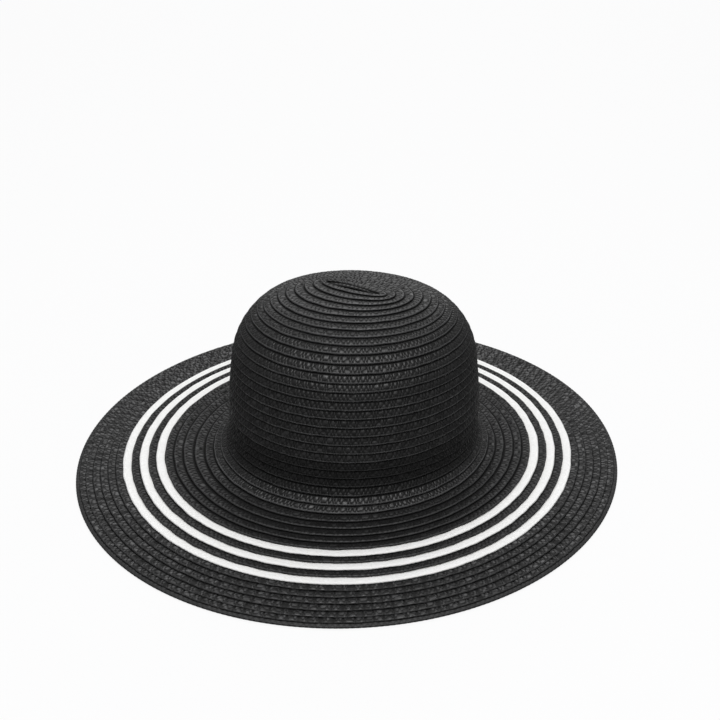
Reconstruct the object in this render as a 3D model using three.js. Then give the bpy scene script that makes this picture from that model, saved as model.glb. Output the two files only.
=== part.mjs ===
import * as THREE from 'three';

// A straw hat sewn from one flat plaited braid, round after round, from the tip of the crown to the edge
// of the brim. Each round is tucked under the one before it. Three rounds of the brim are white.
// Millimetres, +Z up. The origin lies under the middle of the brim, on the surface that the hat rests on.
// The hat's front faces -Y, and the head's long way runs along Y.

// The braid
const layer = 1.0; // thickness of one braid
const lap = 1.9; // how far a round is tucked under the round before
const gap = 0.3; // clearance between rounds that are pieces of their own
const endPlay = 0.5; // clearance in front of a tucked edge
const stepRun = 0.3; // slant of a round's outer edge

// The profile: a chain of stretches, each with its length along the straw and the slope that it ends with
const tipRun = 38.5;
const tipSlopeDegrees = 14.4;
const shoulderRun = 60.5;
const shoulderSlopeDegrees = 79.4;
const wallRun = 55.7;
const wallSlopeDegrees = 88.9;
const turnRun = 34.1;
const turnSlopeDegrees = 3.6;
const brimRun = 87.7;
const edgeSlopeDegrees = 11.25;

// The oval: how much longer than wide the rounds are, and which way the long axis points, from +X
const slitLength = 36; // the fold in the middle of the tip, that the braid starts from
const slitWidth = 0.8;
const slitTurnDegrees = 65;
const tipLonger = 28;
const tipTurnDegrees = 77;
const crownLonger = 22;
const crownTurnDegrees = 90;
const stripesLonger = 10; // at the last white round
const stripesTurnDegrees = 131;
const brimLonger = 12.3;
const brimTurnDegrees = 134;

// The crown stands a little off the middle of the brim
const crownShiftX = 6.7;
const crownShiftY = 3.8;

// The rounds
const tipRounds = 15; // from the slit to the foot of the shoulder
const wallRounds = 13; // from there over the wall to the turn
const turnShare = 0.71; // the share of the turn that still belongs to the crown
const innerShown = 7.08; // width that shows of a black round inside the white ones
const innerLastShown = 4.8; // the last of them is partly hidden by its own turn down
const innerRounds = 5;
const whiteRounds = 3;
const whiteShown = 6.25;
const betweenShown = 5.65; // a black round between two white ones
const outerShown = 5.5;
const outerRounds = 6;
const edgeShown = 2.6; // what shows of the narrow folded round under the edge
const edgeThickness = 1.2; // its thickness at the rim

const facets = 36; // flats round the hat
const roundsPerInnerFacet = 2;

const degree = Math.PI / 180;
const wall = 2 * layer + gap;

const blackStraw = new THREE.MeshStandardMaterial({ color: 0x2b2b2d, roughness: 0.72, metalness: 0 });
const whiteStraw = new THREE.MeshStandardMaterial({ color: 0xf0eee9, roughness: 0.7, metalness: 0 });

// The profile, as tangent arcs: along each stretch the slope grows evenly with the length
const stretches = [
  { run: tipRun, from: 0, to: tipSlopeDegrees },
  { run: shoulderRun, from: tipSlopeDegrees, to: shoulderSlopeDegrees },
  { run: wallRun, from: shoulderSlopeDegrees, to: wallSlopeDegrees },
  { run: turnRun, from: wallSlopeDegrees, to: turnSlopeDegrees },
  { run: brimRun, from: turnSlopeDegrees, to: edgeSlopeDegrees },
];

// Where an arc has got to after a length: how far out, how far down and how steep
function alongArc({ run, from, to }, length) {
  const start = from * degree;
  const bend = ((to - from) * degree) / run;
  const slope = start + bend * length;
  if (Math.abs(bend) < 1e-9) {
    return { out: length * Math.cos(start), down: length * Math.sin(start), slope };
  }
  const out = (Math.sin(slope) - Math.sin(start)) / bend;
  const down = (Math.cos(start) - Math.cos(slope)) / bend;
  return { out, down, slope };
}

// The same for the whole profile, from the middle of the tip
function alongProfile(length) {
  let out = 0;
  let down = 0;
  let left = length;
  for (const [index, stretch] of stretches.entries()) {
    const last = index === stretches.length - 1;
    const reached = alongArc(stretch, last ? left : Math.min(left, stretch.run));
    out += reached.out;
    down += reached.down;
    if (last || left <= stretch.run) {
      return { out, down, slope: reached.slope };
    }
    left -= stretch.run;
  }
}

const profileRun = stretches.reduce((sum, stretch) => sum + stretch.run, 0);
const edgeDrop = alongProfile(profileRun).down;
const edgeLift = edgeThickness + (layer + gap) * Math.cos(edgeSlopeDegrees * degree);
const crownRun = tipRun + shoulderRun + wallRun + turnShare * turnRun;
const innerRun = (innerRounds - 1) * innerShown + innerLastShown;
const stripesRun = crownRun + innerRun + whiteRounds * whiteShown + (whiteRounds - 1) * betweenShown;
const slitRun = (slitLength + slitWidth) / 4;

// The oval at a length along the profile, between these sections
const ovals = [
  { at: slitRun, longer: slitLength - slitWidth, turn: slitTurnDegrees },
  { at: tipRun, longer: tipLonger, turn: tipTurnDegrees },
  { at: tipRun + shoulderRun, longer: crownLonger, turn: crownTurnDegrees },
  { at: stripesRun, longer: stripesLonger, turn: stripesTurnDegrees },
  { at: profileRun, longer: brimLonger, turn: brimTurnDegrees },
];

function ovalVector({ longer, turn }) {
  const twice = 2 * turn * degree;
  return new THREE.Vector2(Math.cos(twice), Math.sin(twice)).multiplyScalar(longer / 4);
}

function ovalAt(length) {
  const next = Math.max(1, ovals.findIndex((oval) => oval.at >= length));
  const [low, high] = [ovals[next - 1], ovals[next]];
  const share = THREE.MathUtils.clamp((length - low.at) / (high.at - low.at), 0, 1);
  const blend = ovalVector(low).lerp(ovalVector(high), share);
  const inside = Math.min(1, length / slitRun); // inside the slit the ovals shrink to a point
  return { stretch: blend.length() * inside, turn: Math.atan2(blend.y, blend.x) / 2 };
}

// How much of the crown's shift a round has: all of it on the wall, none from the first white round on
function shiftShare(length) {
  const whole = crownRun - turnRun - lap;
  const none = crownRun + innerRounds * innerShown;
  return 1 - THREE.MathUtils.smoothstep(length, whole, none);
}

// A point of the straw: so far along the profile, at an angle round the hat, and so far out of the surface
function strawPoint(length, angle, height) {
  const { out, down, slope } = alongProfile(length);
  const { stretch, turn } = ovalAt(length);
  const share = shiftShare(length);
  const across = height * Math.sin(slope);
  const along = (out + stretch + across) * Math.cos(angle - turn);
  const aside = (out - stretch + across) * Math.sin(angle - turn);
  return new THREE.Vector3(
    along * Math.cos(turn) - aside * Math.sin(turn) + share * crownShiftX,
    along * Math.sin(turn) + aside * Math.cos(turn) + share * crownShiftY,
    edgeDrop - down + edgeLift + height * Math.cos(slope),
  );
}

// A solid ring from a closed section. Its points are functions of the angle round the hat, and they run
// outwards over the top and back underneath.
function ringGeometry(section) {
  const positions = [];
  const indices = [];
  const size = section.length;
  for (let turn = 0; turn < facets; turn += 1) {
    const angle = (turn * 2 * Math.PI) / facets;
    section.forEach((point) => positions.push(...point(angle).toArray()));
    const next = (turn + 1) % facets;
    for (let i = 0; i < size; i += 1) {
      const j = (i + 1) % size;
      const [a, b, c, d] = [turn * size + i, turn * size + j, next * size + j, next * size + i];
      indices.push(a, b, c, a, c, d);
    }
  }
  return meshGeometry(positions, indices);
}

// A closed bowl: the section's first and last points lie on the middle of the tip, outside and inside
function bowlGeometry(section) {
  const positions = [];
  const indices = [];
  const middle = section.slice(1, -1);
  const size = middle.length;
  const [top, under] = [facets * size, facets * size + 1];
  for (let turn = 0; turn < facets; turn += 1) {
    const angle = (turn * 2 * Math.PI) / facets;
    middle.forEach((point) => positions.push(...point(angle).toArray()));
    const next = (turn + 1) % facets;
    for (let i = 0; i < size - 1; i += 1) {
      const [a, b, c, d] = [turn * size + i, turn * size + i + 1, next * size + i + 1, next * size + i];
      indices.push(a, b, c, a, c, d);
    }
    indices.push(top, turn * size, next * size);
    indices.push(under, next * size + size - 1, turn * size + size - 1);
  }
  positions.push(...section[0](0).toArray(), ...section[section.length - 1](0).toArray());
  return meshGeometry(positions, indices);
}

function meshGeometry(positions, indices) {
  const geometry = new THREE.BufferGeometry();
  geometry.setAttribute('position', new THREE.Float32BufferAttribute(positions, 3));
  geometry.setIndex(indices);
  geometry.computeVertexNormals();
  return geometry;
}

const straw = (length, height) => (angle) => strawPoint(length, angle, height);
const onFloor = (length) => (angle) => strawPoint(length, angle, 0).setZ(0);

// The top of some rounds, given where each one starts and ends to show. Each rises to its rim, and the
// next one comes out from under it.
function shingles(marks, firstHeight) {
  const points = [];
  for (let i = 0; i < marks.length - 1; i += 1) {
    points.push(straw(marks[i] + (i ? stepRun : 0), i ? -layer : firstHeight));
    if (i === marks.length - 2) {
      points.push(straw(Math.max(marks[i] + stepRun, marks[i + 1] - lap), 0));
    }
    points.push(straw(marks[i + 1], 0));
  }
  return points;
}

// The smooth underside, from the outer end back to the inner one
function underside(from, to, pitch) {
  const steps = Math.max(1, Math.ceil((from - to) / (pitch * roundsPerInnerFacet)));
  const points = [];
  for (let i = 0; i <= steps; i += 1) {
    points.push(straw(from + ((to - from) * i) / steps, -wall));
  }
  return points;
}

// The rim of a piece, and the room under it for the tucked edge of the next piece
function rim(end) {
  return [straw(end, -layer), straw(end - lap - endPlay, -layer)];
}

function marksFrom(start, widths) {
  const marks = [start];
  widths.forEach((width) => marks.push(marks[marks.length - 1] + width));
  return marks;
}

// The top of the crown: rounds from the slit in the tip down over the shoulder
function crownTip(marks) {
  const pitch = marks[1] - marks[0];
  const top = shingles(marks, -layer).slice(1);
  const end = marks[marks.length - 1];
  const under = underside(end - lap - endPlay, 2 * pitch, pitch);
  return bowlGeometry([straw(0, -layer), ...top, ...rim(end), ...under, straw(0, -wall)]);
}

// Some rounds of the brim as one piece, tucked under the piece before
function rounds(marks) {
  const start = marks[0];
  const end = marks[marks.length - 1];
  const pitch = (end - start) / (marks.length - 1);
  return ringGeometry([
    straw(start - lap, -layer - gap),
    ...shingles(marks, -layer - gap),
    ...rim(end),
    ...underside(end - lap - endPlay, start - lap, pitch),
  ]);
}

// The round under the brim's edge. It lies flat on the surface that the hat rests on.
function edgeRound(start) {
  const end = start + edgeShown;
  const inner = start - lap;
  return ringGeometry([
    straw(inner, -layer - gap),
    straw(start, -layer - gap),
    straw(end, -layer - gap),
    onFloor(end),
    onFloor(inner),
  ]);
}

// The pieces outside the tip, from the crown's wall outwards
const crownPitch = (crownRun - slitRun) / (tipRounds + wallRounds);
const innerWidths = [...Array(innerRounds - 1).fill(innerShown), innerLastShown];
const edgeStart = profileRun - edgeShown;
const piecesOutwards = [
  { name: 'crown_wall', material: blackStraw, widths: Array(wallRounds).fill(crownPitch) },
  { name: 'brim_inner', material: blackStraw, widths: innerWidths },
];
for (let number = 1; number <= whiteRounds; number += 1) {
  piecesOutwards.push({ name: `white_round_${number}`, material: whiteStraw, widths: [whiteShown] });
  if (number < whiteRounds) {
    piecesOutwards.push({ name: `black_round_${number}`, material: blackStraw, widths: [betweenShown] });
  }
}

const hat = new THREE.Group();

function add(name, geometry, material) {
  const mesh = new THREE.Mesh(geometry, material);
  mesh.name = name;
  hat.add(mesh);
}

const tipMarks = marksFrom(slitRun, Array(tipRounds).fill(crownPitch));
add('crown_tip', crownTip(tipMarks), blackStraw);
let reached = tipMarks[tipRounds];
for (const piece of piecesOutwards) {
  const marks = marksFrom(reached, piece.widths);
  reached = marks[marks.length - 1];
  add(piece.name, rounds(marks), piece.material);
}
const outerLastShown = edgeStart - reached - (outerRounds - 1) * outerShown;
const outerMarks = marksFrom(reached, [...Array(outerRounds - 1).fill(outerShown), outerLastShown]);
add('brim_outer', rounds(outerMarks), blackStraw);
add('edge_round', edgeRound(edgeStart), blackStraw);

export default hat;
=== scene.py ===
"""A straw hat, sewn round after round from one flat plaited braid, black with three white rounds.

Sizes are millimetres until a mesh is made, and metres from there. +Z is up, the hat's front faces -Y,
and the origin lies under the middle of the brim, on the surface that the hat rests on.
"""

import logging
import math
from dataclasses import dataclass, field, replace
from enum import Enum
from typing import Sequence, Union

import bpy
import numpy as np
from mathutils import Matrix, Vector


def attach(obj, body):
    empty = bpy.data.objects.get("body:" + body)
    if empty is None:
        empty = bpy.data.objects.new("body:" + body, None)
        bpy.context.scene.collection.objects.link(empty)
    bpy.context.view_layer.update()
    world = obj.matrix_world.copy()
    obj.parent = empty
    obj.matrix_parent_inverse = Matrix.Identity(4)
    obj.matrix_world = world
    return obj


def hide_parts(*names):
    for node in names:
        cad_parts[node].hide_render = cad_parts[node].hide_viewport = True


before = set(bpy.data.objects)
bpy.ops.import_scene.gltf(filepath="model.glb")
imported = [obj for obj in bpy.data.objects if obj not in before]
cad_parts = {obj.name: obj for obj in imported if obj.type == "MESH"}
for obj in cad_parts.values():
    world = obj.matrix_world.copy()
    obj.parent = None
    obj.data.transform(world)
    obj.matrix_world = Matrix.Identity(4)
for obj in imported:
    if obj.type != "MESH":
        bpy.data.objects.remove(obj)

log = logging.getLogger("straw_hat")

MM = 0.001
BRAID_UV = "braid"

# Where the plait's masks begin or end: shares of the braid's width, and for the gaps of a strand's height
# The rim's mask shapes the bump of the rolled folds and carries a painted highlight, the light that the folds
# catch
RIM_BEGINS = (0.8, 0.86)
RIM_ENDS = (0.965, 0.995)
# Where the painted shadow below the rim of the round before fades out, in shares of the width
LAP_SHADOW_ENDS = (0.3, 0.42)
GAP_ENDS = (0.25, 0.95)
PINCH_POWER = 7.0

Socket = bpy.types.NodeSocket
Value = Union[float, Socket]


class Straw(Enum):
    """The two colours of braid, by the name of a material slot."""

    BLACK = "black_straw"
    WHITE = "white_straw"


def smooth(value: np.ndarray, low: float, high: float) -> np.ndarray:
    """A soft step: 0 up to low, 1 from high on, and 3t^2 - 2t^3 between them.

    Args:
        value: where to read the step.
        low: where it leaves 0.
        high: where it reaches 1.

    Returns:
        The step at each value.
    """
    t = np.clip((np.asarray(value, float) - low) / (high - low), 0.0, 1.0)
    return t * t * (3.0 - 2.0 * t)


@dataclass(frozen=True)
class Stretch:
    """A stretch of the profile: its length along the straw, and the slope in degrees that it ends with."""

    run: float
    slope: float


@dataclass(frozen=True)
class Oval:
    """How much longer than wide the rounds are at a length along the profile, and where they point."""

    at: float
    longer: float
    turn: float


@dataclass(frozen=True)
class HatForm:
    """The smooth form that the braid is sewn to: a profile of tangent arcs, carried round an oval."""

    tip: Stretch = Stretch(38.5, 14.4)
    shoulder: Stretch = Stretch(60.5, 79.4)
    wall: Stretch = Stretch(55.7, 88.9)
    turn: Stretch = Stretch(34.1, 3.6)
    brim: Stretch = Stretch(87.7, 11.25)
    slit_length: float = 36.0
    slit_width: float = 0.8
    slit_turn: float = 56.0
    tip_longer: float = 28.0
    tip_turn: float = 77.0
    crown_longer: float = 22.0
    crown_turn: float = 90.0
    stripes_longer: float = 10.0
    stripes_turn: float = 131.0
    brim_longer: float = 12.3
    brim_turn: float = 134.0
    shift_x: float = 6.7
    shift_y: float = 3.8
    turn_share: float = 0.71
    lap: float = 1.9
    inner_brim: float = 35.4  # over which the crown's shift fades out
    stripes_reach: float = 63.17  # from the crown's last rim to the last white rim
    edge_lift: float = 2.475

    @property
    def stretches(self) -> tuple[Stretch, ...]:
        """The stretches from the middle of the tip outwards."""
        return (self.tip, self.shoulder, self.wall, self.turn, self.brim)

    @property
    def profile_run(self) -> float:
        """Length along the straw from the middle of the tip to the brim's edge."""
        return sum(stretch.run for stretch in self.stretches)

    @property
    def crown_run(self) -> float:
        """Length along the straw to the crown's last rim, part way round the turn."""
        return self.tip.run + self.shoulder.run + self.wall.run + self.turn_share * self.turn.run

    @property
    def slit_run(self) -> float:
        """Length at which the oval is the slit that the braid starts from."""
        return (self.slit_length + self.slit_width) / 4

    def along(self, length: np.ndarray) -> tuple[np.ndarray, np.ndarray, np.ndarray]:
        """Follows the profile. On each arc the slope grows evenly with the length.

        The way out is the sum of (sin(slope) - sin(slope at the arc's start)) / bend over the arcs passed,
        and the way down is the same sum of cosines the other way round.

        Args:
            length: lengths along the straw from the middle of the tip.

        Returns:
            How far out, how far down, and the slope in radians.
        """
        length = np.asarray(length, float)
        out, down = np.zeros_like(length), np.zeros_like(length)
        start, slope_before = 0.0, 0.0
        starts, slopes = [0.0], [0.0]
        for stretch in self.stretches:
            slope_after = math.radians(stretch.slope)
            bend = (slope_after - slope_before) / stretch.run
            slope = slope_before + bend * np.clip(length - start, 0.0, stretch.run)
            out += (np.sin(slope) - math.sin(slope_before)) / bend
            down += (math.cos(slope_before) - np.cos(slope)) / bend
            start, slope_before = start + stretch.run, slope_after
            starts.append(start)
            slopes.append(slope_after)
        return out, down, np.interp(length, starts, slopes)

    def oval(self, length: np.ndarray) -> tuple[np.ndarray, np.ndarray]:
        """Blends the ovals along the profile, each as a vector at twice its angle.

        Args:
            length: lengths along the straw.

        Returns:
            Half the difference of the half axes, and the angle of the long axis in radians.
        """
        shoulder_end = self.tip.run + self.shoulder.run
        sections = (
            Oval(0.0, 0.0, self.slit_turn),
            Oval(self.slit_run, self.slit_length - self.slit_width, self.slit_turn),
            Oval(self.tip.run, self.tip_longer, self.tip_turn),
            Oval(shoulder_end, self.crown_longer, self.crown_turn),
            Oval(self.crown_run + self.stripes_reach, self.stripes_longer, self.stripes_turn),
            Oval(self.profile_run, self.brim_longer, self.brim_turn),
        )
        at = [section.at for section in sections]
        twice = [2 * math.radians(section.turn) for section in sections]
        x = np.interp(length, at, [s.longer / 4 * math.cos(t) for s, t in zip(sections, twice)])
        y = np.interp(length, at, [s.longer / 4 * math.sin(t) for s, t in zip(sections, twice)])
        return np.hypot(x, y), np.arctan2(y, x) / 2

    def points(self, length: np.ndarray, angle: np.ndarray, height: np.ndarray) -> np.ndarray:
        """Points of the straw.

        The half axes are the way out, more or less the oval's stretch, plus what the height adds across.
        The crown's shift fades out over the inner brim.

        Args:
            length: lengths along the straw.
            angle: angles round the hat, in radians from +X.
            height: heights out of the form's surface.

        Returns:
            An array of the broadcast shape with x, y and z last.
        """
        length, angle, height = np.broadcast_arrays(length, angle, height)
        out, down, slope = self.along(length)
        stretch, turn = self.oval(length)
        whole = self.crown_run - self.turn.run - self.lap
        share = 1.0 - smooth(length, whole, self.crown_run + self.inner_brim)
        across = height * np.sin(slope)
        long_way = (out + stretch + across) * np.cos(angle - turn)
        short_way = (out - stretch + across) * np.sin(angle - turn)
        edge_drop = float(self.along(np.array(self.profile_run))[1])
        x = long_way * np.cos(turn) - short_way * np.sin(turn) + share * self.shift_x
        y = long_way * np.sin(turn) + short_way * np.cos(turn) + share * self.shift_y
        z = edge_drop - down + self.edge_lift + height * np.cos(slope)
        return np.stack([x, y, z], axis=-1)

    def even_angles(self, length: float, spacing: float, repeat: int) -> tuple[np.ndarray, int]:
        """Angles that lie an even distance apart round the hat, at one length along the profile.

        Args:
            length: length along the straw.
            spacing: wished length of one repeat of the plait.
            repeat: samples for one repeat.

        Returns:
            The angles, without the closing one, and the number of whole repeats.
        """
        fine = np.linspace(0.0, 2 * math.pi, 2881)
        path = self.points(length, fine, 0.0)
        steps = np.linalg.norm(np.diff(path, axis=0), axis=1)
        distance = np.concatenate([[0.0], np.cumsum(steps)])
        repeats = max(4, round(distance[-1] / spacing))
        count = repeats * repeat
        return np.interp(np.arange(count) * distance[-1] / count, distance, fine), repeats


@dataclass(frozen=True)
class Course:
    """One round of braid: its number from the slit, where it starts to show, and where its rim lies."""

    number: int
    start: float
    end: float


@dataclass
class Grid:
    """A closed ring of quads: points along and across the braid, and its coordinates on the braid."""

    points: np.ndarray
    along: np.ndarray
    across: np.ndarray

    def corners(self) -> tuple[np.ndarray, np.ndarray]:
        """Quads that run once round the hat and once round the braid's section.

        Returns:
            Vertex numbers of each quad, and the braid coordinates of each of its corners.
        """
        rows, columns = self.points.shape[:2]
        i, j = np.meshgrid(np.arange(rows), np.arange(columns), indexing="ij")
        i_next, j_next = (i + 1) % rows, (j + 1) % columns
        quads = np.stack(
            [i * columns + j, i * columns + j_next, i_next * columns + j_next, i_next * columns + j],
            axis=-1,
        )
        u0, u1 = self.along[i], self.along[i + 1]
        v0, v1 = self.across[j], self.across[j_next]
        pairs = [np.stack(pair, axis=-1) for pair in ((u0, v0), (u0, v1), (u1, v1), (u1, v0))]
        return quads.reshape(-1, 4), np.stack(pairs, axis=2).reshape(-1, 4, 2)


def mesh_object(name: str, grids: Sequence[Grid]) -> bpy.types.Object:
    """Joins some grids into one smooth mesh in metres, with the braid's coordinates as its UV map.

    Args:
        name: the piece's name.
        grids: the rounds of braid.

    Returns:
        The new object, at the origin.
    """
    quads, coordinates, first = [], [], 0
    for grid in grids:
        faces, uv = grid.corners()
        quads.append(faces + first)
        coordinates.append(uv)
        first += grid.points.shape[0] * grid.points.shape[1]
    vertices = np.concatenate([grid.points.reshape(-1, 3) for grid in grids]) * MM
    faces = np.concatenate(quads)
    mesh = bpy.data.meshes.new(name)
    mesh.vertices.add(len(vertices))
    mesh.vertices.foreach_set("co", vertices.astype(np.float32).ravel())
    mesh.loops.add(faces.size)
    mesh.loops.foreach_set("vertex_index", faces.astype(np.int32).ravel())
    mesh.polygons.add(len(faces))
    mesh.polygons.foreach_set("loop_start", np.arange(0, faces.size, 4, dtype=np.int32))
    mesh.polygons.foreach_set("use_smooth", np.ones(len(faces), dtype=bool))
    layer = mesh.uv_layers.new(name=BRAID_UV)
    mesh.update(calc_edges=True)
    layer.data.foreach_set("uv", np.concatenate(coordinates).astype(np.float32).ravel())
    piece = bpy.data.objects.new(name, mesh)
    bpy.context.scene.collection.objects.link(piece)
    return piece


@dataclass(frozen=True)
class Slit:
    """The slit in the middle of the tip, wide at its start and closing towards its end."""

    turn: float  # of its long way, in degrees
    lack: float = 2.94  # what the first round lacks of its width beside the slit, in the middle
    lack_change: float = 1.45  # how much more it lacks at the start, and less at the end
    near_height: float = -1.8  # of the middle of the first round's edge, on the near side
    far_height: float = -0.3

    def edge(self, angle: np.ndarray) -> tuple[np.ndarray, np.ndarray]:
        """The first round's edge along the slit: a cosine from end to end, and a step from side to side.

        Args:
            angle: angles round the hat, in radians.

        Returns:
            What the round lacks of its width, and the height of its edge.
        """
        from_end = angle - math.radians(self.turn)
        far = smooth(np.sin(from_end), 0, 0.15)
        height = self.near_height + (self.far_height - self.near_height) * far
        return self.lack - self.lack_change * np.cos(from_end), height


@dataclass(frozen=True)
class Braid:
    """The flat plaited braid, and how it lies where it is sewn."""

    width: float = 8.0
    thickness: float = 0.9
    pitch: float = 3.05  # from one fold of the plait to the next, along a rim
    leans: float = 1.5  # pitches that a strand moves along while it crosses the braid
    samples: int = 6  # for each pitch
    tucked: float = -1.7  # height of the braid's middle under the rim of the round before
    curl: float = 1.0  # how far its hidden edge rises from there, to be sewn to that round
    raised: float = -0.45  # the same at its rim
    dome: float = 0.1  # how far the shown part bulges
    relief: float = 0.21  # height of a strand over the gaps
    picot: float = 0.16  # how far the folds stand out of the rim
    pinch: float = 0.05  # how far each stitch pulls the rim down
    pillow: float = 0.0  # how far it pulls down the shown width
    stitch_pitches: int = 3
    wander: float = 0.12  # how far a rim strays from its line
    bob: float = 0.07  # how far it strays in height
    slip: float = 0.2  # how far the plait slips along the braid, in pitches
    rim_width: float = 1.6  # over which the folds and strays come in towards the rim
    seed: int = 100  # each round's strays are drawn from this and its number

    # Shares of the width, over the top and back underneath
    top: tuple[float, ...] = (0.0, 0.24, 0.37, 0.5, 0.63, 0.77, 0.9, 1.0)
    under: tuple[float, ...] = (0.9, 0.12)

    def plait(self, along: np.ndarray, across: np.ndarray) -> np.ndarray:
        """Height of the plait, from 0 in its gaps to 1 on its ridges.

        Two families of strands lean either way. Along a + lean and a - lean the whole numbers count the
        strands, and where the two counts add up to an even number, the first family lies on top. A strand
        is round across itself, and arches from one dive under to the next.

        Args:
            along: distance along the braid, in pitches.
            across: share of the width, from the tucked edge to the rim.

        Returns:
            The height at each point.
        """
        lean = (across - 0.5) * self.leans
        first, second = along + lean, along - lean
        on_top = (np.floor(first) + np.floor(second)) % 2 < 1
        ridge = np.where(on_top, first % 1, second % 1)
        run = np.where(on_top, second % 1, first % 1)
        return np.sqrt(np.clip(1 - (2 * ridge - 1) ** 2, 0, 1)) * (0.55 + 0.45 * np.sin(math.pi * run))

    @staticmethod
    def stray(random: np.random.Generator, count: int, waves: tuple[int, int]) -> np.ndarray:
        """A seamless uneven line: a sum of sines with whole numbers of waves, of unit mean square.

        Args:
            random: where the phases and strengths come from.
            count: samples round the hat.
            waves: the lowest and highest number of waves.

        Returns:
            The line's height at each sample.
        """
        numbers = np.arange(waves[0], waves[1] + 1)
        strength = random.normal(size=numbers.size)
        phase = random.uniform(0, 2 * math.pi, numbers.size)
        turn = 2 * math.pi * np.arange(count) / count
        line = (strength * np.sin(np.outer(turn, numbers) + phase)).sum(axis=1)
        return line / max(float(np.sqrt((line**2).mean())), 1e-9)

    def sew(self, form: HatForm, course: Course, slit: Slit | None = None) -> Grid:
        """Lays the braid round the hat.

        Where a round shows more than the braid has, the braid is pulled wider, so that the lap stays. The
        middle of the braid rises from under the round before to its own rim, by a soft step, and its
        hidden edge curls up by another to meet that round. Its thickness follows the square root of
        1 - |2s - 1|^8 over the share s of the width, so its edges are round. Stitches pull it down by the
        sixth power of a cosine.

        Args:
            form: the form that it is sewn to.
            course: the round.
            slit: the slit, where this is the round that borders on it.

        Returns:
            The closed ring of braid.
        """
        random = np.random.default_rng(self.seed + course.number)
        middle = (course.start + course.end) / 2
        angle, repeats = form.even_angles(middle, self.pitch, self.samples)
        count = angle.size
        rate = max(2, repeats // 12)
        sway = self.wander * self.stray(random, count, (2, rate * 3))
        bob = self.bob * self.stray(random, count, (2, rate * 2))
        slip = self.slip * self.stray(random, count, (rate, rate * 8))
        along = np.arange(count) / self.samples + slip
        lack, edge = slit.edge(angle) if slit else (np.zeros(count), np.full(count, self.tucked))

        width = max(self.width, course.end - course.start + form.lap)
        share = np.array(self.top + self.under)
        side = np.where(np.arange(share.size) < len(self.top), 1.0, -1.0)
        across = lack[:, None] + share * (width - lack[:, None])
        whole_share = across / width
        roundness = np.sqrt(np.clip(1 - np.abs(2 * share - 1) ** 8, 0, 1))
        shown = smooth(across, form.lap - 0.5, form.lap + 0.8)
        rim = smooth(across, width - self.rim_width, width)
        rise = smooth(across, form.lap - 0.2, width - 1.2)
        tucked = edge[:, None] + self.curl * (1 - smooth(across, 0.0, form.lap))
        bulge = self.dome * np.sin(math.pi * np.clip((across - form.lap) / (width - form.lap), 0, 1))

        strand = self.plait(along[:, None], whole_share)
        field_mask = roundness * (1 - 0.6 * rim) * np.where(side > 0, shown, 0.0)
        stitch = np.abs(np.cos(math.pi * along / self.stitch_pitches))[:, None] ** 6
        picots = np.abs(np.sin(math.pi * (along - 0.25))) ** 0.8 - 0.6
        height = (
            tucked
            + (self.raised - tucked) * rise
            + bulge
            + side * roundness * self.thickness / 2
            + self.relief * strand * field_mask
            + (bob[:, None] - self.pinch * stitch) * rim
            - self.pillow * stitch * shown
        )
        length = course.end - width + across + (sway + self.picot * picots)[:, None] * rim
        return Grid(
            points=form.points(length, angle[:, None], height),
            along=np.append(along, along[0] + repeats),
            across=whole_share.mean(axis=0) * 0.98 + 0.01 + course.number,
        )


class Wiring:
    """Adds nodes to a node tree and joins them."""

    def __init__(self, tree: bpy.types.NodeTree) -> None:
        """Takes the tree that the nodes go in."""
        self.tree = tree

    def node(self, kind: str, **settings: object) -> bpy.types.Node:
        """Adds a node and sets its properties.

        Args:
            kind: the node's type name, without the leading ShaderNode.
            settings: its properties by name.

        Returns:
            The node.
        """
        made = self.tree.nodes.new(kind if kind.startswith("Node") else "ShaderNode" + kind)
        for name, value in settings.items():
            setattr(made, name, value)
        return made

    def feed(self, socket: Socket, value: Value | Vector | tuple) -> None:
        """Joins a socket to another one, or sets its own value."""
        if isinstance(value, bpy.types.NodeSocket):
            self.tree.links.new(value, socket)
        else:
            socket.default_value = value

    def math(self, operation: str, *values: Value) -> Socket:
        """A Math node with these inputs; returns its output."""
        made = self.node("Math", operation=operation)
        for socket, value in zip(made.inputs, values):
            self.feed(socket, value)
        return made.outputs[0]

    def blend(self, share: Value, low: Value, high: Value) -> Socket:
        """low + (high - low) * share, for plain values; returns the output."""
        made = self.node("Mix", data_type="FLOAT")
        for socket, value in zip(made.inputs[:1] + made.inputs[2:4], (share, low, high)):
            self.feed(socket, value)
        return made.outputs[0]

    def tint(self, share: Value, low: Value | tuple, high: Value | tuple) -> Socket:
        """The same for colours; returns the output."""
        made = self.node("Mix", data_type="RGBA")
        for socket, value in zip([made.inputs[0], made.inputs[6], made.inputs[7]], (share, low, high)):
            self.feed(socket, value)
        return made.outputs[2]

    def step(self, value: Value, low: float, high: float) -> Socket:
        """A soft step from 0 at low to 1 at high; returns the output."""
        made = self.node("MapRange", interpolation_type="SMOOTHSTEP")
        for name, setting in (("Value", value), ("From Min", low), ("From Max", high)):
            self.feed(made.inputs[name], setting)
        return made.outputs["Result"]

    def vector(self, x: Value, y: Value, z: Value) -> Socket:
        """A vector from three values; returns the output."""
        made = self.node("CombineXYZ")
        for socket, value in zip(made.inputs, (x, y, z)):
            self.feed(socket, value)
        return made.outputs[0]


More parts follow.
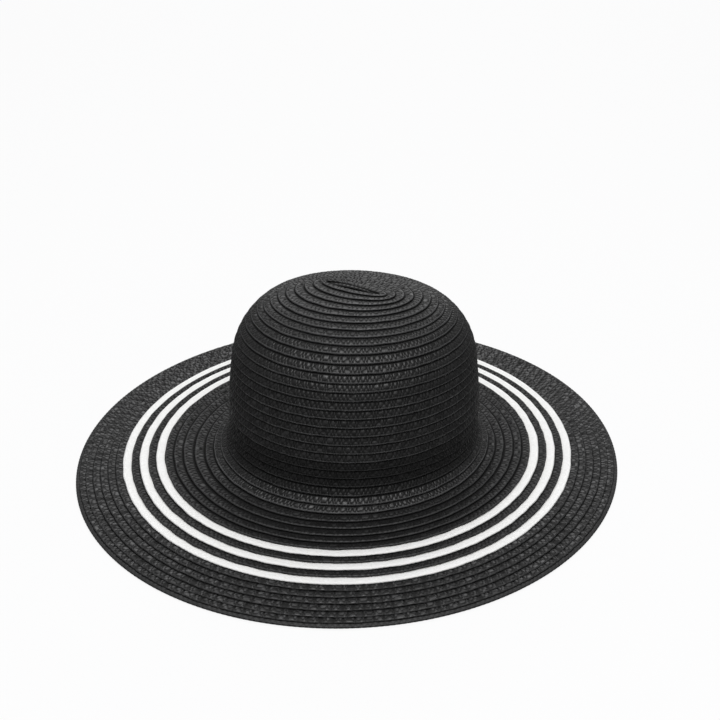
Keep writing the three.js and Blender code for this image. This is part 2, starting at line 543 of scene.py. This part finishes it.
def plait_group(leans: float) -> bpy.types.NodeTree:
    """The plait as a node group, by the same rule as Braid.plait, with paper fibres on each strand.

    Args:
        leans: pitches that a strand moves along while it crosses the braid.

    Returns:
        The group, with Along, Across and the pitches from Stitch to stitch in. Out come Height, Gap, Tone
        and Fibre, and masks for the folds along the Rim, which carry a painted highlight, for the Pinch at
        each stitch, which carries painted shade, and for the painted shadow below the rim of the round
        before.
    """
    tree = bpy.data.node_groups.new("Plait", "ShaderNodeTree")
    for name in ("Along", "Across", "Stitch"):
        tree.interface.new_socket(name=name, in_out="INPUT", socket_type="NodeSocketFloat")
    for name in ("Height", "Gap", "Tone", "Fibre", "Rim", "Pinch", "LapShadow"):
        tree.interface.new_socket(name=name, in_out="OUTPUT", socket_type="NodeSocketFloat")
    wire = Wiring(tree)
    given = wire.node("NodeGroupInput").outputs
    course = wire.math("FLOOR", given["Across"])
    share = wire.math("FRACT", given["Across"])
    lean = wire.math("MULTIPLY", wire.math("SUBTRACT", share, 0.5), leans)
    first = wire.math("ADD", given["Along"], lean)
    second = wire.math("SUBTRACT", given["Along"], lean)
    first_count, second_count = wire.math("FLOOR", first), wire.math("FLOOR", second)
    both = wire.math("ADD", first_count, second_count)
    below = wire.math("FLOORED_MODULO", both, 2.0)
    ridge = wire.blend(below, wire.math("FRACT", first), wire.math("FRACT", second))
    run = wire.blend(below, wire.math("FRACT", second), wire.math("FRACT", first))

    centred = wire.math("MULTIPLY_ADD", ridge, 2.0, -1.0)
    round_share = wire.math("SUBTRACT", 1.0, wire.math("MULTIPLY", centred, centred))
    across_strand = wire.math("SQRT", wire.math("MAXIMUM", round_share, 0.0))
    arch = wire.math("MULTIPLY_ADD", wire.math("SINE", wire.math("MULTIPLY", run, math.pi)), 0.45, 0.55)
    height = wire.math("MULTIPLY", across_strand, arch)

    place = wire.vector(first_count, second_count, course)
    tone = wire.node("TexWhiteNoise", noise_dimensions="3D")
    wire.feed(tone.inputs["Vector"], place)
    offset = wire.math("MULTIPLY", tone.outputs["Value"], 40.0)
    fibre = wire.node("TexNoise", noise_dimensions="3D")
    fibre_place = wire.vector(
        wire.math("MULTIPLY_ADD", ridge, 5.0, offset), wire.math("MULTIPLY", run, 1.3), offset
    )
    wire.feed(fibre.inputs["Vector"], fibre_place)
    fibre.inputs["Scale"].default_value = 1.0
    fibre.inputs["Detail"].default_value = 3.0

    past_rim = wire.math("SUBTRACT", 1.0, wire.step(share, *RIM_ENDS))
    from_stitch = wire.math("DIVIDE", wire.math("MULTIPLY", given["Along"], math.pi), given["Stitch"])
    pinch = wire.math("POWER", wire.math("ABSOLUTE", wire.math("COSINE", from_stitch)), PINCH_POWER)

    result = wire.node("NodeGroupOutput").inputs
    wire.feed(result["Height"], height)
    wire.feed(result["Gap"], wire.math("SUBTRACT", 1.0, wire.step(height, *GAP_ENDS)))
    wire.feed(result["Tone"], tone.outputs["Value"])
    wire.feed(result["Fibre"], fibre.outputs["Fac"])
    wire.feed(result["Rim"], wire.math("MULTIPLY", wire.step(share, *RIM_BEGINS), past_rim))
    wire.feed(result["Pinch"], pinch)
    wire.feed(result["LapShadow"], wire.math("SUBTRACT", 1.0, wire.step(share, *LAP_SHADOW_ENDS)))
    return tree


def grey(value: float) -> tuple[float, float, float, float]:
    """A neutral colour of this value."""
    return (value, value, value * 1.02, 1.0)


@dataclass(frozen=True)
class StrawFinish:
    """How one colour of paper straw looks on one part of the hat."""

    name: str
    straw: Straw
    dull: tuple[float, float, float, float]
    bright: tuple[float, float, float, float]
    # the colour of painted shade: in the gaps between strands, below the rim of the round before and at the
    # stitches
    gap_shade: tuple[float, float, float, float]
    # the colour of a painted highlight along the rim's folds
    rim: tuple[float, float, float, float]
    # how far the gaps between strands are painted toward that shade
    gap_shade_depth: float
    roughness: tuple[float, float]
    specular: float
    bump: float
    rarity: float = 1.0  # how few of the strands are bright ones
    stitch_pitches: float = 3.0
    # how far the dimple at each stitch is painted toward the shade colour
    stitch_shade_depth: float = 0.0
    fibre_share: float = 0.35  # of a strand's tone
    hollow_roughness: float = 0.95
    rim_height: float = 1.3  # of the folds along the rim, where a strand's height is 1
    fibre_height: float = 0.3
    relief: float = 0.5 * MM

    def material(self, plait: bpy.types.NodeTree) -> bpy.types.Material:
        """Builds the material: strands of uneven tone, painted shade in the gaps, a painted highlight on the
        rim's folds, painted shade at the stitches and below the rim of the round before, and relief from the
        plait and fibres.

        Args:
            plait: the shared plait group.

        Returns:
            The material.
        """
        made = bpy.data.materials.new(self.name)
        made.use_nodes = True
        wire = Wiring(made.node_tree)
        shader = made.node_tree.nodes["Principled BSDF"]
        uv = wire.node("UVMap", uv_map=BRAID_UV)
        parts = wire.node("SeparateXYZ")
        wire.feed(parts.inputs[0], uv.outputs["UV"])
        group = wire.node("Group", node_tree=plait)
        wire.feed(group.inputs["Along"], parts.outputs["X"])
        wire.feed(group.inputs["Across"], parts.outputs["Y"])
        group.inputs["Stitch"].default_value = self.stitch_pitches

        weave = group.outputs
        uneven = wire.blend(self.fibre_share, weave["Tone"], weave["Fibre"])
        strand = wire.tint(wire.math("POWER", uneven, self.rarity), self.dull, self.bright)
        # Painted shade in the gaps between strands
        gap_shade = wire.math("MULTIPLY", weave["Gap"], self.gap_shade_depth)
        plaited = wire.tint(gap_shade, strand, self.gap_shade)
        # A painted highlight along the rim's folds, where they catch the light
        rim_highlighted = wire.tint(weave["Rim"], plaited, wire.tint(weave["Fibre"], self.dull, self.rim))
        # Painted shade in the dimple at each stitch, and painted shadow below the rim of the round before
        pinch = wire.math("MULTIPLY", weave["Pinch"], self.stitch_shade_depth)
        lap_and_stitch_shade = wire.math("MAXIMUM", pinch, weave["LapShadow"])
        wire.feed(shader.inputs["Base Color"], wire.tint(lap_and_stitch_shade, rim_highlighted, self.gap_shade))
        hollow = wire.math("MAXIMUM", gap_shade, lap_and_stitch_shade)
        roughness = wire.blend(hollow, wire.blend(weave["Tone"], *self.roughness), self.hollow_roughness)
        wire.feed(shader.inputs["Roughness"], roughness)
        shader.inputs["Specular IOR Level"].default_value = self.specular

        rolled = wire.blend(weave["Rim"], weave["Height"], self.rim_height)
        relief = wire.math("MULTIPLY_ADD", weave["Fibre"], self.fibre_height, rolled)
        bump = wire.node("Bump")
        bump.inputs["Strength"].default_value = self.bump
        bump.inputs["Distance"].default_value = self.relief
        wire.feed(bump.inputs["Height"], relief)
        wire.feed(shader.inputs["Normal"], bump.outputs["Normal"])
        return made


# In each finish the gap colour is painted shade, and the rim colour a painted highlight on the rim's folds
CROWN_FINISH = StrawFinish(
    name="black_straw_crown",
    straw=Straw.BLACK,
    dull=grey(0.001),
    bright=grey(0.014),
    gap_shade=grey(0.0005),
    rim=grey(0.12),
    gap_shade_depth=0.95,
    roughness=(0.4, 0.27),
    specular=0.5,
    bump=0.9,
    rarity=1.3,
)
WALL_FINISH = replace(
    CROWN_FINISH, name="black_straw_wall", bright=grey(0.034), rim=grey(0.14), bump=1.1, rarity=2.0
)
# A shaded copy of the wall's straw: the same straw painted darker, with a fainter rim highlight and less
# sheen, for the shade low on the wall just above the brim
SHADED_LOW_WALL_FINISH = replace(
    WALL_FINISH, name="black_straw_shaded_low_wall", bright=grey(0.014), rim=grey(0.07), specular=0.4
)
INNER_BRIM_FINISH = StrawFinish(
    name="black_straw_inner_brim",
    straw=Straw.BLACK,
    dull=grey(0.001),
    bright=grey(0.034),
    gap_shade=grey(0.0005),
    rim=grey(0.06),
    gap_shade_depth=0.95,
    roughness=(0.5, 0.38),
    specular=0.35,
    bump=1.0,
    rarity=1.6,
)
OUTER_BRIM_FINISH = StrawFinish(
    name="black_straw_outer_brim",
    straw=Straw.BLACK,
    dull=grey(0.003),
    bright=grey(0.095),
    gap_shade=grey(0.0005),
    rim=grey(0.065),
    gap_shade_depth=0.95,
    roughness=(0.45, 0.26),
    specular=0.5,
    bump=1.2,
    rarity=1.9,
    stitch_pitches=2.0,
    stitch_shade_depth=0.8,
)
EDGE_FINISH = StrawFinish(
    name="black_straw_edge",
    straw=Straw.BLACK,
    dull=grey(0.02),
    bright=grey(0.035),
    gap_shade=grey(0.008),
    rim=grey(0.035),
    gap_shade_depth=0.4,
    roughness=(0.6, 0.45),
    specular=0.35,
    bump=0.4,
)
WHITE_FINISH = StrawFinish(
    name="white_straw",
    straw=Straw.WHITE,
    dull=(0.92, 0.92, 0.91, 1.0),
    bright=(0.98, 0.98, 0.975, 1.0),
    gap_shade=(0.84, 0.835, 0.82, 1.0),
    rim=(0.98, 0.98, 0.975, 1.0),
    gap_shade_depth=0.3,
    roughness=(0.75, 0.6),
    specular=0.3,
    bump=0.25,
)


FINISHES = (
    CROWN_FINISH,
    WALL_FINISH,
    SHADED_LOW_WALL_FINISH,
    INNER_BRIM_FINISH,
    OUTER_BRIM_FINISH,
    EDGE_FINISH,
    WHITE_FINISH,
)


@dataclass
class Hat:
    """What the hat's sub-assemblies share: the form, the braid and the finished materials."""

    form: HatForm = field(default_factory=HatForm)
    braid: Braid = field(default_factory=Braid)
    materials: dict[str, bpy.types.Material] = field(default_factory=dict)

    def __post_init__(self) -> None:
        """Builds the shared plait group and the materials."""
        plait = plait_group(self.braid.leans)
        for finish in FINISHES:
            self.materials[finish.name] = finish.material(plait)

    def dress(self, piece: bpy.types.Object, finish: StrawFinish, node: str) -> None:
        """Gives a piece its material and its body, and hides the imported part that it stands for."""
        piece.data.materials.append(self.materials[finish.name])
        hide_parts(node)
        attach(piece, "root")
        log.info("%s: %d faces, for %s", piece.name, len(piece.data.polygons), node)


def courses_between(first: int, start: float, widths: Sequence[float]) -> list[Course]:
    """Rounds one after another.

    Args:
        first: the number of the first round.
        start: where it starts to show, along the profile.
        widths: how much of each round shows.

    Returns:
        The rounds.
    """
    ends = start + np.cumsum(widths)
    starts = np.concatenate([[start], ends[:-1]])
    return [Course(first + i, float(a), float(b)) for i, (a, b) in enumerate(zip(starts, ends))]


@dataclass
class Crown:
    """The black rounds from the slit in the tip down over the wall to the turn."""

    hat: Hat
    rounds: int = 28
    tip_rounds: int = 15
    flat_rounds: int = 10  # of the tip's rounds, those before the shoulder
    upper_wall_rounds: int = 7
    tight_round: float = 9.8  # where the rounds are sewn tightest, at the shoulder
    tight_spread: float = 2.1
    tight_by: float = 1.35
    last_short: float = 0.7  # how much higher the last rim lies than the form has it
    wall_short: float = 0.9  # how much higher the wall's rims lie
    wall_lift: tuple[int, int, int, int] = (11, 15, 24, 27)  # rounds where that comes in and goes out
    pieces: list[tuple[bpy.types.Object, StrawFinish, str]] = field(default_factory=list)

    def build(self) -> None:
        """Makes the rounds, in five pieces so that each stays light."""
        form, braid = self.hat.form, self.hat.braid
        pitch = (form.crown_run - form.slit_run) / self.rounds
        number = np.arange(self.rounds + 1)
        tight = np.exp(-(((number - self.tight_round) / self.tight_spread) ** 2))
        ends = form.slit_run + number * pitch - self.tight_by * tight
        ends[-3:] -= np.array([0.35, 0.7, 1.0]) * self.last_short
        lift_in, lift_out = self.wall_lift[:2], self.wall_lift[2:]
        ends -= self.wall_short * smooth(number, *lift_in) * (1 - smooth(number, *lift_out))
        courses = courses_between(0, float(ends[0]), np.diff(ends))
        upper_end = self.tip_rounds + self.upper_wall_rounds
        parts = (
            ("crown_tip_rounds", "crown_tip", CROWN_FINISH, courses[: self.flat_rounds]),
            ("crown_shoulder_rounds", "crown_tip", CROWN_FINISH, courses[self.flat_rounds : self.tip_rounds]),
            ("crown_upper_wall", "crown_wall", WALL_FINISH, courses[self.tip_rounds : upper_end]),
            ("crown_lower_wall", "crown_wall", SHADED_LOW_WALL_FINISH, courses[upper_end:-2]),
            ("crown_turn_rounds", "crown_wall", WALL_FINISH, courses[-2:]),
        )
        slit = Slit(form.slit_turn)
        for name, node, finish, part in parts:
            grids = [braid.sew(form, course, slit if course.number == 0 else None) for course in part]
            self.pieces.append((mesh_object(name, grids), finish, node))

    def dress(self) -> None:
        """Makes them black straw."""
        for piece, finish, node in self.pieces:
            self.hat.dress(piece, finish, node)


@dataclass
class BraidStart:
    """The folded start of the braid, seen in the slit in the middle of the tip.

    Each pair of offsets is measured from the slit's middle line, at the slit's start and at its end.
    """

    hat: Hat
    length: float = 43.0
    near: tuple[float, float] = (-3.0, -1.1)  # of its edge that lies on the first round
    far: tuple[float, float] = (4.2, 1.6)  # of its edge under the first round
    thickness: float = 0.8
    near_height: float = -0.5  # of its middle there, from the form's surface
    far_height: float = -1.3
    relief: float = 0.15  # height of the plait on its top
    rows: int = 64
    columns: int = 14
    piece: bpy.types.Object | None = None

    def build(self) -> None:
        """A flat strip: an oval section, tilted, that narrows to both ends by the root of 1 - t^4."""
        form = self.hat.form
        t = np.linspace(-1.0, 1.0, self.rows)
        around = np.arange(self.columns) * 2 * math.pi / self.columns
        taper = np.sqrt(np.clip(1 - t**4, 0, 1)) * 0.97 + 0.03
        turn = math.radians(form.slit_turn)
        share = t[:, None] * self.length / 2
        near, far = np.interp(t, (-1, 1), self.near), np.interp(t, (-1, 1), self.far)
        spread = np.outer(taper, np.sign(np.sin(around)) * np.abs(np.sin(around)) ** 0.7)
        aside = ((near + far) / 2)[:, None] + spread * ((far - near) / 2)[:, None]
        tilt = (1 + spread) / 2
        top = float(form.points(0.0, 0.0, 0.0)[2])
        fall = (share**2 + aside**2) / (2 * form.tip.run / math.radians(form.tip.slope))
        along = np.broadcast_to(share, aside.shape)
        plait = self.hat.braid.plait(along / self.hat.braid.pitch, tilt)
        thick = np.outer(np.sqrt(taper), np.cos(around)) * self.thickness / 2
        middle = self.near_height + (self.far_height - self.near_height) * tilt
        points = np.stack(
            [
                along * math.cos(turn) - aside * math.sin(turn) + form.shift_x,
                along * math.sin(turn) + aside * math.cos(turn) + form.shift_y,
                top + middle - fall + thick + self.relief * plait * (thick > 0),
            ],
            axis=-1,
        )
        self.piece = self.bar("braid_start", points)

    def bar(self, name: str, points: np.ndarray) -> bpy.types.Object:
        """Closes the rows of points into a bar with a flat face at each end.

        Args:
            name: the piece's name.
            points: rows of points along the bar, each going once round it.

        Returns:
            The new object.
        """
        rows, columns = points.shape[:2]
        i, j = np.meshgrid(np.arange(rows - 1), np.arange(columns), indexing="ij")
        j_next = (j + 1) % columns
        quads = np.stack(
            [i * columns + j, (i + 1) * columns + j, (i + 1) * columns + j_next, i * columns + j_next],
            axis=-1,
        ).reshape(-1, 4)
        ends = [list(range(columns)), list(range(rows * columns - 1, (rows - 1) * columns - 1, -1))]
        mesh = bpy.data.meshes.new(name)
        mesh.from_pydata((points.reshape(-1, 3) * MM).tolist(), [], quads.tolist() + ends)
        mesh.polygons.foreach_set("use_smooth", np.ones(len(mesh.polygons), dtype=bool))
        uv = np.zeros((len(mesh.loops), 2), dtype=np.float32)
        corner = np.zeros(len(mesh.loops), dtype=np.int32)
        mesh.loops.foreach_get("vertex_index", corner)
        uv[:, 0] = (corner // columns) * self.length / (self.rows - 1) / self.hat.braid.pitch
        uv[:, 1] = 0.5 + 0.45 * np.sin((corner % columns) * 2 * math.pi / columns)
        mesh.uv_layers.new(name=BRAID_UV).data.foreach_set("uv", uv.ravel())
        piece = bpy.data.objects.new(name, mesh)
        bpy.context.scene.collection.objects.link(piece)
        return piece

    def dress(self) -> None:
        """Makes it black straw."""
        self.hat.dress(self.piece, CROWN_FINISH, "crown_tip")


@dataclass
class Brim:
    """The rounds of the brim: black ones, three white ones with black between them, and black ones."""

    hat: Hat
    first_number: int = 28
    pitch: float = 3.5  # the plait is pulled longer here
    inner_back: float = 0.7  # how far inside the form's crown rim the brim starts
    inner_shown: tuple[float, ...] = (6.3, 7.1, 7.6, 6.6, 6.3)
    white_shown: float = 6.4
    between_shown: float = 5.75
    outer_shown: float = 5.35
    outer_rounds: int = 6
    edge_shown: float = 2.6
    outer_relief: float = 0.34
    outer_pillow: float = 0.4
    pieces: list[tuple[bpy.types.Object, StrawFinish, str]] = field(default_factory=list)

    def build(self) -> None:
        """Makes the rounds from the crown outwards."""
        form = self.hat.form
        calm = self.reshaped()
        pillowed = self.reshaped(
            relief=self.outer_relief, pinch=0.15, pillow=self.outer_pillow, stitch_pitches=2, picot=0.22
        )
        white, between = self.white_shown, self.between_shown
        inner = list(self.inner_shown)
        outer = [self.outer_shown] * (self.outer_rounds - 1)
        stripes = [white, between, white, between, white]
        start = form.crown_run - self.inner_back
        last = form.profile_run - self.edge_shown - start - sum(inner + stripes + outer)
        courses = courses_between(self.first_number, start, inner + stripes + outer + [last])
        stripe_at = len(inner)
        outer_at = stripe_at + len(stripes)
        parts = [("brim_inner_rounds", "brim_inner", INNER_BRIM_FINISH, calm, courses[:stripe_at])]
        for place, course in enumerate(courses[stripe_at:outer_at]):
            finish = INNER_BRIM_FINISH if place % 2 else WHITE_FINISH
            kind = "black" if place % 2 else "white"
            node = f"{kind}_round_{place // 2 + 1}"
            parts.append((f"{kind}_stripe_{place // 2 + 1}", node, finish, calm, [course]))
        parts += [
            ("brim_outer_rounds", "brim_outer", OUTER_BRIM_FINISH, pillowed, courses[outer_at:-2]),
            ("brim_last_rounds", "brim_outer", OUTER_BRIM_FINISH, pillowed, courses[-2:]),
        ]
        for name, node, finish, braid, part in parts:
            grids = [braid.sew(form, course) for course in part]
            self.pieces.append((mesh_object(name, grids), finish, node))

    def reshaped(self, **sizes: float) -> Braid:
        """The hat's braid with the brim's pitch and other sizes changed."""
        return replace(self.hat.braid, pitch=self.pitch, **sizes)

    def dress(self) -> None:
        """Gives each piece its colour."""
        for piece, finish, node in self.pieces:
            self.hat.dress(piece, finish, node)


@dataclass
class EdgeRound:
    """The narrow folded round under the brim's edge, which lies on what the hat rests on."""

    hat: Hat
    number: int = 44
    shown: float = 2.6
    top: float = -0.95
    half: float = 0.82  # of its thickness
    power: float = 0.6  # below 1, its section is squarer than an ellipse
    fold: float = 0.1  # how far the folds of the plait stand out
    fold_from: float = 0.3  # where they begin, in half widths of the section
    samples: int = 5
    pitch: float = 3.5
    section: int = 12
    piece: bpy.types.Object | None = None

    def build(self) -> None:
        """A flat tube: its section is a squared ellipse, cut off at the floor.

        Across and up, the section goes by the cosine and sine of the angle round it, each raised to the
        same power with its sign kept.
        """
        form = self.hat.form
        end = form.profile_run
        start = end - self.shown - form.lap
        middle, reach = (start + end) / 2, (end - start) / 2
        angle, repeats = form.even_angles(middle, self.pitch, self.samples)
        along = np.arange(angle.size) / self.samples
        around = math.pi - np.arange(self.section) * 2 * math.pi / self.section
        wide = np.sign(np.cos(around)) * np.abs(np.cos(around)) ** self.power
        tall = np.sign(np.sin(around)) * np.abs(np.sin(around)) ** self.power
        fold = self.fold * np.abs(np.sin(math.pi * along))[:, None]
        length = middle + wide * (reach - self.fold) + fold * (wide > self.fold_from)
        height = self.top - self.half + tall * self.half + fold * (tall > self.fold_from)
        points = form.points(length, angle[:, None], height)
        points[..., 2] = np.maximum(points[..., 2], 0.0)
        grid = Grid(
            points=points,
            along=np.append(along, float(repeats)),
            across=self.number + 0.5 + 0.3 * wide,
        )
        self.piece = mesh_object("folded_edge", [grid])

    def dress(self) -> None:
        """Makes it black straw."""
        self.hat.dress(self.piece, EDGE_FINISH, "edge_round")


@dataclass(frozen=True)
class Lamp:
    """A square soft lamp that faces the hat from a direction, given as a view's is."""

    name: str
    azimuth: float
    elevation: float
    distance: float
    size: float
    power: float

    def hang(self) -> None:
        """Places the lamp. The camera doesn't see it."""
        data = bpy.data.lights.new(self.name, "AREA")
        data.energy, data.size = self.power, self.size * MM
        made = bpy.data.objects.new(self.name, data)
        turn, rise = math.radians(self.azimuth), math.radians(self.elevation)
        level = Vector((math.sin(turn), -math.cos(turn), 0)) * math.cos(rise)
        place = (level + Vector((0, 0, math.sin(rise)))) * self.distance * MM
        made.matrix_world = Matrix.Translation(place) @ (-place).to_track_quat("-Z", "Y").to_matrix().to_4x4()
        made.visible_camera = False
        bpy.context.scene.collection.objects.link(made)


@dataclass
class Studio:
    """A white floor, soft light from above, in front and behind, and the camera at the photo's angle."""

    azimuth: float = 84.65  # of the camera, as a view of the hat
    elevation: float = 32.97
    distance: float = 1100.0
    aim_height: float = 2.475  # of the point that the elevation and distance are taken to
    look_down: float = 29.52
    look_right: float = 0.52
    lens: float = 77.19
    sensor: float = 36.0
    floor_reach: float = 20000.0
    floor_paint: float = 0.12  # what the floor shows to the camera
    floor_bounce: float = 0.12  # what it sends back to the hat
    floor_glow: float = 0.86  # a lit table top's own light, for the camera
    world_strength: float = 0.3
    lamps: tuple[Lamp, ...] = (
        Lamp("top_lamp", azimuth=85.0, elevation=80.0, distance=1800.0, size=1200.0, power=16.5),
        Lamp("front_lamp", azimuth=95.0, elevation=54.0, distance=1800.0, size=900.0, power=6.0),
        Lamp("back_lamp", azimuth=262.0, elevation=37.0, distance=2000.0, size=1800.0, power=12.0),
    )

    def axes(self) -> tuple[Vector, Vector]:
        """The camera's right and forward directions on the floor."""
        turn = math.radians(self.azimuth)
        return Vector((math.cos(turn), math.sin(turn), 0)), Vector((-math.sin(turn), math.cos(turn), 0))

    def camera(self) -> None:
        """Places the camera: a distance back at the elevation, looking down and a little right."""
        right, forward = self.axes()
        rise = math.radians(self.elevation)
        place = (
            -self.distance * math.cos(rise) * forward
            + Vector((0, 0, self.distance * math.sin(rise) + self.aim_height))
        ) * MM
        down, aside = math.radians(self.look_down), math.radians(self.look_right)
        level = right * math.sin(aside) + forward * math.cos(aside)
        look = level * math.cos(down) - Vector((0, 0, math.sin(down)))
        across = right * math.cos(aside) - forward * math.sin(aside)
        above = across.cross(look)
        data = bpy.data.cameras.new("camera")
        data.lens, data.sensor_width = self.lens, self.sensor
        made = bpy.data.objects.new("camera", data)
        turned = Matrix((across, above, -look)).transposed().to_4x4()
        made.matrix_world = Matrix.Translation(place) @ turned
        bpy.context.scene.collection.objects.link(made)
        bpy.context.scene.camera = made

    def floor(self) -> None:
        """A large matt floor just under the hat, which glows white for the camera and no other ray."""
        reach, drop = self.floor_reach * MM, 0.2 * MM
        corners = [(-reach, -reach), (reach, -reach), (reach, reach), (-reach, reach)]
        mesh = bpy.data.meshes.new("floor")
        mesh.from_pydata([(x, y, -drop) for x, y in corners], [], [(0, 1, 2, 3)])
        made = bpy.data.objects.new("floor", mesh)
        bpy.context.scene.collection.objects.link(made)
        paint = bpy.data.materials.new("floor_white")
        paint.use_nodes = True
        wire = Wiring(paint.node_tree)
        seen = wire.node("LightPath").outputs["Is Camera Ray"]
        shader = paint.node_tree.nodes["Principled BSDF"]
        shade = wire.tint(seen, grey(self.floor_bounce), grey(self.floor_paint))
        wire.feed(shader.inputs["Base Color"], shade)
        shader.inputs["Roughness"].default_value = 0.9
        shader.inputs["Specular IOR Level"].default_value = 0.0
        shader.inputs["Emission Color"].default_value = (1.0, 1.0, 1.0, 1.0)
        wire.feed(shader.inputs["Emission Strength"], wire.math("MULTIPLY", seen, self.floor_glow))
        mesh.materials.append(paint)

    def lights(self) -> None:
        """Even light from all round, white where the camera looks past the floor, and the lamps."""
        world = bpy.data.worlds.new("studio")
        world.use_nodes = True
        wire = Wiring(world.node_tree)
        back = world.node_tree.nodes["Background"]
        back.inputs["Color"].default_value = (1.0, 1.0, 1.0, 1.0)
        seen = wire.node("LightPath").outputs["Is Camera Ray"]
        wire.feed(back.inputs["Strength"], wire.blend(seen, self.world_strength, 1.0))
        bpy.context.scene.world = world
        for lamp in self.lamps:
            lamp.hang()

    def build(self) -> None:
        """Sets it all up, with colours shown as they are."""
        self.camera()
        self.floor()
        self.lights()
        bpy.context.scene.view_settings.view_transform = "Standard"


def main() -> None:
    """Builds and dresses the hat, then sets up the studio."""
    logging.basicConfig(level=logging.INFO, format="%(name)s: %(message)s")
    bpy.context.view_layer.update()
    hat = Hat()
    for assembly in (Crown(hat), BraidStart(hat), Brim(hat), EdgeRound(hat)):
        assembly.build()
        assembly.dress()
    Studio().build()


if __name__ == "__main__":
    main()
